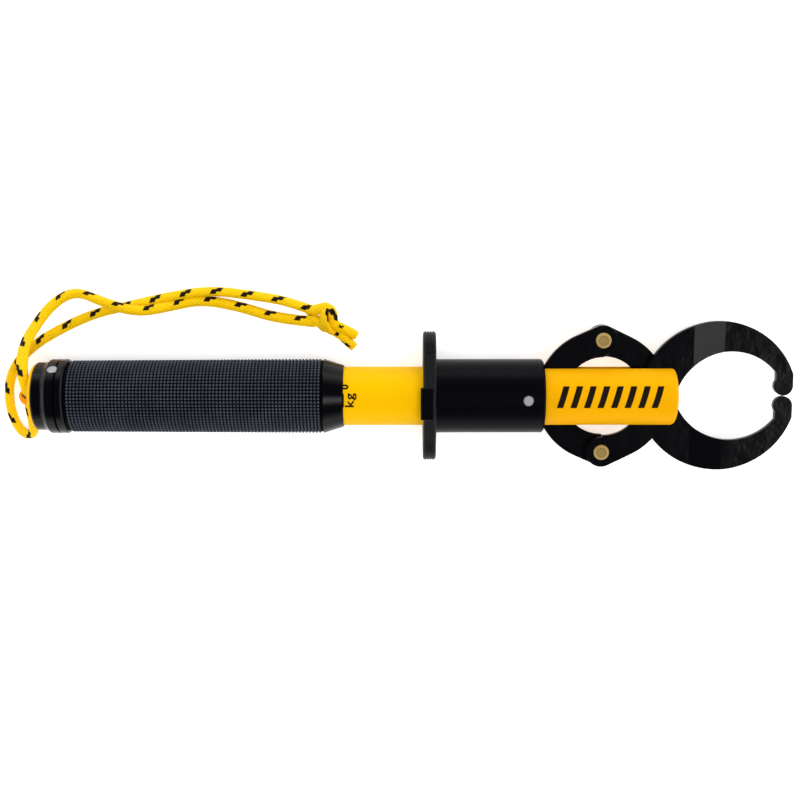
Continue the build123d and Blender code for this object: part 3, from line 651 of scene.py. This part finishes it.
# One look for each material slot of the record, and for the nodes that differ from theirs
LOOKS = {
    "amber_aluminium": anodised("amber_aluminium", (0.80, 0.44, 0.0003), (0.78, 0.42, 0.0003)),
    "orange_aluminium": anodised("orange_aluminium", (0.86, 0.30, 0.003), (0.80, 0.26, 0.002)),
    "grip_rubber": moulded_black("hidden_rubber", rough_low=0.5, rough_high=0.6),
    "black_plastic": moulded_black("black_plastic"),
    "black_paint": painted_black(),
    "brass": rivet_brass(),
    "bright_steel": bare_metal("bright_steel", (0.29, 0.295, 0.31), 0.40, 0.60, shine=0.2),
    "spring_steel": bare_metal("spring_steel", (0.50, 0.50, 0.52), 0.28, 0.42),
    "tube_aluminium": bare_metal("tube_aluminium", (0.78, 0.78, 0.80), 0.25, 0.4, (0.05, 1, 1)),
    "nylon": moulded_black("nylon", (0.80, 0.79, 0.74), 0.4, 0.5, 0.3),
    "cord_braid": cord_look,
}
OWN_LOOKS = {
    "jaw_head": anodised("amber_head", (0.77, 0.365, 0.0003), (0.75, 0.345, 0.0003)),
    "slide_sleeve": moulded_black("sleeve_black", rough_low=0.26, rough_high=0.36, shine=0.045),
    "finger_wings": moulded_black("wings_black", (0.0085, 0.0085, 0.010), 0.34, 0.50, 0.12),
}
BEVELLED = ("jaw_upper", "jaw_lower", "link_upper", "link_lower", "wings_key", "sleeve_pins")
BEVEL_WIDTH = 0.22 * MM
WELD_REACH = 0.001 * MM
slot_of = {part["node"]: part["material_slot"] for part in frame["record"]["subparts"]}
for name, node in nodes.items():
    node.data.materials.clear()
    node.data.materials.append(OWN_LOOKS.get(name, LOOKS[slot_of[name]]))
    if name in BEVELLED:
        weld = node.modifiers.new("weld", "WELD")
        weld.merge_threshold = WELD_REACH
        bevel = node.modifiers.new("bevel", "BEVEL")
        bevel.width = BEVEL_WIDTH
        bevel.segments = 2
        bevel.limit_method = "ANGLE"
        bevel.angle_limit = math.radians(40)


def live_spring(node):
    """A stand-in for a spring of the frame: a separate object with a copy of the same coils, while the
    frame's spring is hidden.
    """
    piece = bpy.data.objects.new(node + "_coils", nodes[node].data.copy())
    bpy.context.collection.objects.link(piece)
    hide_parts(node)
    return piece


jaw_coils = live_spring("jaw_spring")
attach(jaw_coils, "barrel")
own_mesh(jaw_coils)
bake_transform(live_spring("scale_spring"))


# ---------------------------------------------------------------- print on the metal
PRINT_LIFT = 0.05 * MM    # print stands this far off the metal
PRINT_CUT = 0.35 * MM     # longest edge of a letter's mesh
LETTER_GAP = 1.16
CAP_SHARE = 0.7           # height of a capital as a share of the font's size
BAR_CUTS = 12


def ink():
    """Black print with a little brown in it."""
    shader = Shader("black_print")
    fleck = shader.noise(2400, 2, 0.5, shader.coords())
    colour = shader.ramp(fleck, [(0.2, (0.012, 0.006, 0.002)), (0.8, (0.004, 0.003, 0.002))])
    shader.link(colour, shader.surface.inputs["Base Color"])
    shader.set(Roughness=0.5, Specular_IOR_Level=0.1)
    return shader.material


def wrap_on_cylinder(piece, radius):
    """Bends a flat print, drawn in x and y, round the long axis onto a cylinder."""
    for vertex in piece.data.vertices:
        x, y, _ = vertex.co
        angle = y / radius
        r = radius + PRINT_LIFT
        vertex.co = (x, r * math.sin(angle), AXIS_Z + r * math.cos(angle))


def finish_print(name, parts, radius, body, material):
    """Joins flat print shapes into one piece and wraps it on a cylinder."""
    bpy.ops.object.select_all(action="DESELECT")
    for part in parts:
        part.select_set(True)
    bpy.context.view_layer.objects.active = parts[0]
    bpy.ops.object.join()
    piece = bpy.context.view_layer.objects.active
    piece.name = name
    piece.data.name = name
    wrap_on_cylinder(piece, radius)
    piece.data.materials.clear()
    piece.data.materials.append(material)
    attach(piece, body)


def bar(x, y, size_x, size_y, slant=0.0):
    """Flat bar of print centred at x, y, in millimetres, cut across so that it can bend."""
    verts = []
    for n in range(BAR_CUTS + 1):
        v = n / BAR_CUTS - 0.5
        shift = slant * v
        for u in (-0.5, 0.5):
            verts.append(((x + u * size_x + shift) * MM, (y + v * size_y) * MM, 0))
    faces = [[2 * n, 2 * n + 1, 2 * n + 3, 2 * n + 2] for n in range(BAR_CUTS)]
    return new_piece("bar", verts, faces, smooth=False)


def word(text, x, y, height, weight, wide=1.0):
    """Flat text that reads towards +Y, with the tops of its letters towards the rear.

    Sizes are in millimetres; weight is how much each stroke is thickened.
    """
    data = bpy.data.curves.new("word", "FONT")
    data.body = text
    data.size = height / CAP_SHARE * MM
    data.resolution_u = 8
    data.offset = weight * MM
    data.space_character = LETTER_GAP
    flat = bpy.data.objects.new("word", data)
    bpy.context.collection.objects.link(flat)
    mesh = bpy.data.meshes.new_from_object(flat)
    bpy.data.objects.remove(flat)
    mesh.transform(Matrix.Diagonal((wide, 1, 1, 1)))
    # Cut the long triangles of the font so that the print can bend round the barrel
    cut = bmesh.new()
    cut.from_mesh(mesh)
    for _ in range(6):
        long_edges = [edge for edge in cut.edges if edge.calc_length() > PRINT_CUT]
        if not long_edges:
            break
        bmesh.ops.subdivide_edges(cut, edges=long_edges, cuts=1)
        bmesh.ops.triangulate(cut, faces=[face for face in cut.faces if len(face.verts) > 3])
    cut.to_mesh(mesh)
    cut.free()
    place = Matrix.Translation((x * MM, y * MM, 0)) @ Matrix.Rotation(math.radians(90), 4, "Z")
    mesh.transform(place)
    piece = bpy.data.objects.new("word", mesh)
    bpy.context.collection.objects.link(piece)
    return piece


ink_look = ink()
ZERO_X = -20.7          # the zero mark, in millimetres; the marks run back from it
KG_STEP = 3.0
LAST_KG = 15
MARKS_REAR_X = 50.2     # the bars on the jaw head
MARKS_FRONT_X = 86.2
MARKS_COUNT = 8


def scale_print():
    """Marks of the built-in scale: a tick for each kilogram and a number for every second one."""
    parts = [word("kg", -17.3, -2.65, 2.85, weight=0.09, wide=1.22)]
    for kg in range(LAST_KG + 1):
        x = ZERO_X - kg * KG_STEP
        parts.append(bar(x, -0.2, 0.4, 4.5))
        if kg % 2 == 0:
            parts.append(word(str(kg), x + 1.6, 3.6, 2.3, weight=0.14))
        if kg < LAST_KG:
            parts.append(bar(x - KG_STEP / 2, -1.2, 0.3, 2.5))
    finish_print("scale_marks", parts, BARREL_R, "barrel", ink_look)


def head_bars():
    """Plain generic marks on the jaw head: a row of slanted bars."""
    step = (MARKS_FRONT_X - MARKS_REAR_X) / MARKS_COUNT
    places = [MARKS_REAR_X + (n + 0.5) * step for n in range(MARKS_COUNT)]
    parts = [bar(x, 0.9, 2.1, 7.4, slant=2.2) for x in places]
    finish_print("head_marks", parts, HEAD_R, "trigger", ink_look)


scale_print()
head_bars()


# ---------------------------------------------------------------- floor and lights
FLOOR_REACH = 2.4
FLOOR_DROP = 0.2 * MM           # keeps the floor clear of what lies on it
WALL_SPAN = (0.10, 0.58)        # heights, as sines, over which the walls turn into the ceiling
WALL_LIGHT = 2.6
CEILING_LIGHT = 0.06
SIDE_BIAS = 0.2                 # how much brighter the +Y wall is
SOFTBOX_DIRECTION = (0.47, -0.12, 0.875)
SOFTBOX_SPAN = (0.979, 0.993)   # cosines at its faded edge and at its full core
SOFTBOX_LIGHT = 7.5
DIFFUSER_SIDE = 1.2
DIFFUSER_Z = 1.0
DIFFUSER_WATTS = 10.0


def make_floor():
    """A pale floor that glows a little, so that it stays nearly white under the tool."""
    reach = FLOOR_REACH
    verts = [(-reach, -reach, 0), (reach, -reach, 0), (reach, reach, 0), (-reach, reach, 0)]
    shader = Shader("floor")
    shader.set(Base_Color=(0.90, 0.90, 0.90, 1), Roughness=0.9, Specular_IOR_Level=0.1)
    shader.set(Emission_Color=(1, 1, 1, 1), Emission_Strength=0.45)
    floor = new_piece("floor", verts, [(0, 1, 2, 3)], shader.material, smooth=False)
    floor.location.z = -FLOOR_DROP


def world_ramp(tree, source, span, levels):
    """A smooth step of the world's light, from one level to the other over a span of the source."""
    made = tree.nodes.new("ShaderNodeMapRange")
    made.interpolation_type = "SMOOTHSTEP"
    made.inputs["From Min"].default_value, made.inputs["From Max"].default_value = span
    made.inputs["To Min"].default_value, made.inputs["To Max"].default_value = levels
    tree.links.new(source, made.inputs["Value"])
    return made.outputs["Result"]


def make_light():
    """A pale studio tent: bright walls all round, a darker ceiling where the camera hangs, one
    softbox past the claws, and a large overhead diffuser that throws no reflections."""
    world = bpy.data.worlds.new("studio")
    world.use_nodes = True
    tree = world.node_tree
    background = tree.nodes["Background"]
    background.inputs["Color"].default_value = (1, 1, 1, 1)
    direction = tree.nodes.new("ShaderNodeTexCoord").outputs["Generated"]
    split = tree.nodes.new("ShaderNodeSeparateXYZ")
    tree.links.new(direction, split.inputs["Vector"])
    walls = world_ramp(tree, split.outputs["Z"], WALL_SPAN, (WALL_LIGHT, CEILING_LIGHT))
    side = maths(tree, "ADD", maths(tree, "MULTIPLY", split.outputs["Y"], SIDE_BIAS), 1.0)
    aim = tree.nodes.new("ShaderNodeVectorMath")
    aim.operation = "DOT_PRODUCT"
    tree.links.new(direction, aim.inputs[0])
    aim.inputs[1].default_value = Vector(SOFTBOX_DIRECTION).normalized()
    softbox = world_ramp(tree, aim.outputs["Value"], SOFTBOX_SPAN, (0.0, SOFTBOX_LIGHT))
    level = maths(tree, "ADD", maths(tree, "MULTIPLY", walls, side), softbox)
    tree.links.new(level, background.inputs["Strength"])
    bpy.context.scene.world = world
    data = bpy.data.lights.new("diffuser", "AREA")
    data.shape = "SQUARE"
    data.size = DIFFUSER_SIDE
    data.energy = DIFFUSER_WATTS
    diffuser = bpy.data.objects.new("diffuser", data)
    bpy.context.collection.objects.link(diffuser)
    diffuser.location = (0, 0, DIFFUSER_Z)
    diffuser.visible_glossy = False


make_floor()
make_light()
bpy.context.scene.view_settings.view_transform = "Standard"
bpy.context.scene.view_settings.look = "None"
